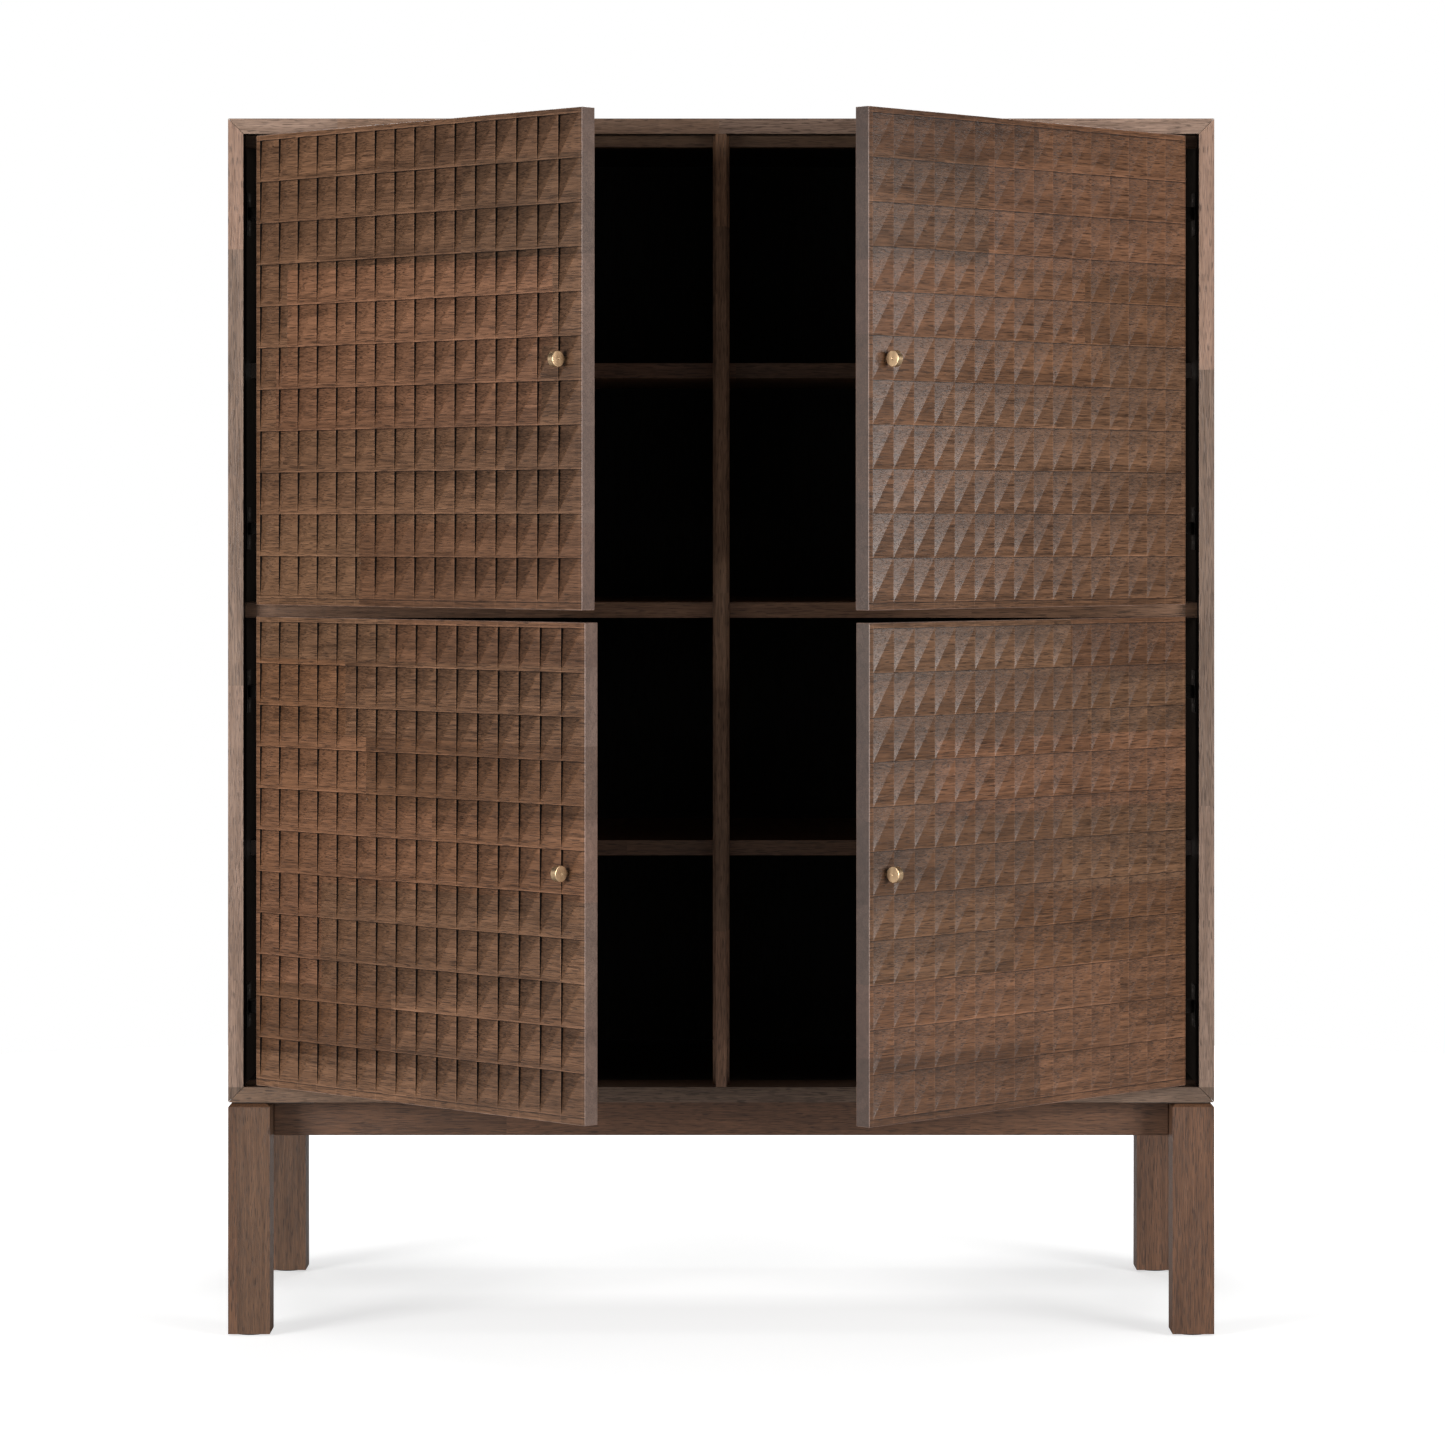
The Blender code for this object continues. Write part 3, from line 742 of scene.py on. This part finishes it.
def add_ear(shape, place, end, top):
    """A screwed ear on the cup's flange, to the side that end gives, as 1 or -1."""
    half_width, root = EAR_ROOT
    ear = []
    for height in (FIT_GAP, top - EAR_DROP):
        ear.extend(shape.verts.new((x, end * root, height)) for x in (-half_width, half_width))
        for step in range(EAR_STEPS):
            angle = 2 * pi * step / EAR_STEPS
            ear.append(shape.verts.new((EAR_RADIUS * cos(angle),
                                        end * EAR_REACH + EAR_RADIUS * sin(angle), height)))
    bmesh.ops.convex_hull(shape, input=ear)
    bmesh.ops.transform(shape, matrix=place, verts=[vert for vert in ear if vert.is_valid])
    screw_head(shape, place @ Matrix.Translation((0.0, end * EAR_REACH, top)))


def cup_shape(sign, level):
    """Cup with a flange, two ears with a screw each, and the two link pins across it."""
    shape = bmesh.new()
    centre = (sign * (AXIS_INBOARD - CUP_FROM_EDGE), AXIS_FORWARD + DOOR_THICK, level)
    place = Matrix.Translation(centre) @ Matrix.Rotation(-pi / 2, 4, "X")
    inner = CUP_RADIUS - CUP_WALL
    bottom = -CUP_DEPTH + CUP_WALL
    top = FIT_GAP + FLANGE_THICK
    profile = [
        (0.0, bottom), (inner - CUP_FILLET, bottom), (inner, bottom + CUP_FILLET),
        (inner, top - FLANGE_EDGE), (inner + FLANGE_EDGE, top), (FLANGE_RADIUS - FLANGE_EDGE, top),
        (FLANGE_RADIUS, top - FLANGE_EDGE), (FLANGE_RADIUS, FIT_GAP), (CUP_RADIUS, FIT_GAP),
        (CUP_RADIUS, -CUP_DEPTH), (0.0, -CUP_DEPTH),
    ]
    lathe(shape, profile, CUP_STEPS, place)
    for end in (-1, 1):
        add_ear(shape, place, end, top)
    for across, height in PIN_PLACES:
        pin = Matrix.Translation((across, 0.0, height)) @ Matrix.Rotation(pi / 2, 4, "X")
        bmesh.ops.create_cone(shape, cap_ends=True, segments=SMALL_STEPS, radius1=PIN_RADIUS,
                              radius2=PIN_RADIUS, depth=PIN_LENGTH, matrix=place @ pin)
    return shape


def round_edges(shape, edges):
    bmesh.ops.bevel(shape, geom=edges, offset=ARM_EDGE, segments=2, profile=0.5, affect="EDGES")


def arm_shape(sign, level):
    """Cranked arm clipped to a screwed base plate on the side of the case."""
    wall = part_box("right_side")[0].x - FIT_GAP

    def point(inboard, back, up):
        return (sign * (wall - inboard), FRONT + back, level + up)

    shape = bmesh.new()
    floor_ring = [shape.verts.new(point(*spot, -ARM_HEIGHT / 2)) for spot in ARM_PLAN]
    base = shape.faces.new(floor_ring)
    raised = bmesh.ops.extrude_face_region(shape, geom=[base])["geom"]
    bmesh.ops.translate(shape, vec=(0, 0, ARM_HEIGHT),
                        verts=[item for item in raised if isinstance(item, bmesh.types.BMVert)])
    round_edges(shape, shape.edges[:])
    low = Vector(point(0.0, PLATE_DEPTH[0], -PLATE_HEIGHT / 2))
    high = Vector(point(PLATE_THICK, PLATE_DEPTH[1], PLATE_HEIGHT / 2))
    size = high - low
    box = Matrix.Translation((low + high) / 2) @ Matrix.Diagonal((abs(size.x), size.y, size.z, 1.0))
    plate = bmesh.ops.create_cube(shape, size=1.0, matrix=box)["verts"]
    round_edges(shape, edges_among(shape, plate))
    inward = Matrix.Rotation(-sign * pi / 2, 4, "Y")
    middle = sum(PLATE_DEPTH) / 2
    for up in PLATE_SCREWS:
        screw_head(shape, Matrix.Translation(point(PLATE_THICK, middle, up)) @ inward)
    for back in ARM_SCREWS:
        screw_head(shape, Matrix.Translation(point(ARM_TOP, back, 0.0)) @ inward)
    return shape


def add_hinges(level, side, steel):
    name = f"{level}_{side}"
    sign = SIDES[side]
    place, turn, height = door_frame(name, sign)
    reach = height / 2 - HINGE_FROM_END
    for end, offset in (("top", reach), ("bottom", -reach)):
        label = f"{name}_{end}"
        mesh = mesh_from("cup_" + label, cup_shape(sign, offset), [steel], HINGE_SHARP_ANGLE)
        cup = new_object("cup_" + label, mesh, "door_" + name, place, turn)
        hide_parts("hinge_cup_" + label)
        mesh = mesh_from("arm_" + label, arm_shape(sign, place[2] + offset), [steel], HINGE_SHARP_ANGLE)
        arm = new_object("arm_" + label, mesh, "cabinet")
        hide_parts("hinge_arm_" + label)


# ---- stage ----
FLOOR_RADIUS = 3.0
FLOOR_GRAIN = 400.0
FLOOR_LIFT = 0.67        # near the object
FLOOR_LIFT_FAR = 1.1     # where the floor fades into the white background
FLOOR_FADE = (0.7, 1.5)  # where that starts and ends
SHADE_PLACE = (0.43, 0.37, 0.0)     # soft shade by the right rear leg, mirrored for the left
SHADE_RADIUS = 0.30
SHADE_LOSS = 0.16        # lift lost at its middle
AMBIENT = 0.06


def floor():
    """Pale paper. The camera sees it lifted towards white, as in a lit studio sweep."""
    shape = bmesh.new()
    bmesh.ops.create_circle(shape, cap_ends=True, segments=96, radius=FLOOR_RADIUS)
    material = new_material("floor_paper")
    tree = material.node_tree
    place = object_place(tree)
    fine = add(tree, "TexNoise", {"Vector": place, "Scale": FLOOR_GRAIN})
    color = mix_color(tree, fine.outputs["Fac"], (0.52, 0.52, 0.52, 1.0), (0.56, 0.56, 0.56, 1.0))
    away = add(tree, "VectorMath", {0: place}, operation="LENGTH").outputs["Value"]
    lift = ramp(tree, away, *FLOOR_FADE, FLOOR_LIFT, FLOOR_LIFT_FAR)
    x, y, _ = object_axes(tree)
    mirrored = add(tree, "CombineXYZ", {0: calc(tree, "ABSOLUTE", x), 1: y}).outputs[0]
    from_leg = add(tree, "VectorMath", {0: mirrored, 1: SHADE_PLACE}, operation="DISTANCE")
    shade = ramp(tree, from_leg.outputs["Value"], 0.0, SHADE_RADIUS, SHADE_LOSS, 0.0)
    lift = calc(tree, "SUBTRACT", lift, shade)
    seen = add(tree, "LightPath").outputs["Is Camera Ray"]
    shader = finish_material(tree, color, 0.8, fine.outputs["Fac"], 0.0001,
                             Specular_IOR_Level=0.2, Emission_Color=(1.0, 1.0, 1.0, 1.0))
    tree.links.new(calc(tree, "MULTIPLY", seen, lift), shader.inputs["Emission Strength"])
    obj = bpy.data.objects.new("floor", mesh_from("floor", shape, [material]))
    bpy.context.scene.collection.objects.link(obj)


def area_light(name, place, target, size, power):
    light = bpy.data.lights.new(name, "AREA")
    light.shape = "RECTANGLE"
    light.size, light.size_y = size
    light.energy = power
    obj = bpy.data.objects.new(name, light)
    bpy.context.scene.collection.objects.link(obj)
    obj.location = place
    obj.rotation_euler = (Vector(target) - Vector(place)).to_track_quat("-Z", "Y").to_euler()


def lights():
    area_light("rear", place=(0.0, 2.8, 2.7), target=(0.0, 0.2, 0.7), size=(2.4, 0.8), power=45)
    area_light("overhead", place=(0.0, 0.1, 3.4), target=(0.0, 0.1, 0.0), size=(3.0, 1.4), power=40)
    for name, key_power, sheen_power in (("right", 98, 5.5), ("left", 121, 2.2)):
        sign = SIDES[name]
        area_light("key_" + name, place=(sign * 2.7, -2.5, 0.95), target=(0.0, -0.2, 0.85),
                   size=(1.3, 1.3), power=key_power)
        area_light("sheen_" + name, place=(sign * 1.9, -0.9, 1.15), target=(0.0, -0.2, 1.0),
                   size=(0.3, 0.6), power=sheen_power)


def world():
    """White to the camera, and a dimmer grey as a light."""
    scene_world = bpy.data.worlds.new("studio")
    scene_world.use_nodes = True
    bpy.context.scene.world = scene_world
    tree = scene_world.node_tree
    tree.nodes.clear()
    seen = add(tree, "LightPath").outputs["Is Camera Ray"]
    strength = calc(tree, "MULTIPLY_ADD", seen, 1.0 - AMBIENT, AMBIENT)
    background = add(tree, "Background", {"Color": (1.0, 1.0, 1.0, 1.0), "Strength": strength})
    output = add(tree, "OutputWorld")
    tree.links.new(background.outputs[0], output.inputs["Surface"])
    bpy.context.scene.view_settings.view_transform = "Standard"


CAMERA_DISTANCE = 5.245  # from the case's front
CAMERA_HEIGHT = 0.9022
CAMERA_SIDE = 0.0015
CAMERA_SENSOR = 36.0
CAMERA_LENS = 117.16
CAMERA_SHIFT = -0.1352


def camera():
    data = bpy.data.cameras.new("camera")
    data.sensor_width = CAMERA_SENSOR
    data.lens = CAMERA_LENS
    data.shift_y = CAMERA_SHIFT
    obj = bpy.data.objects.new("camera", data)
    bpy.context.scene.collection.objects.link(obj)
    obj.location = (CAMERA_SIDE, FRONT - CAMERA_DISTANCE, CAMERA_HEIGHT)
    obj.rotation_euler = (pi / 2, 0.0, 0.0)
    bpy.context.scene.camera = obj


camera()
floor()
lights()
world()
dress_case()
dress_base()
steel = metal("burnished_steel", (0.050, 0.042, 0.036), roughness=0.5,
              scratch_scale=(900.0, 900.0, 60.0), metallic=0.4)
brass = metal("turned_brass", (0.60, 0.42, 0.25), roughness=0.38,
              scratch_scale=(2500.0, 60.0, 60.0), metallic=1.0)
dress_fittings(steel, brass, felt())
for number, door_name in enumerate((level, side) for level in LEVELS for side in SIDES):
    add_door(*door_name, seed=2.9 * number + 0.6)
    add_knob(*door_name, brass)
    add_hinges(*door_name, steel)
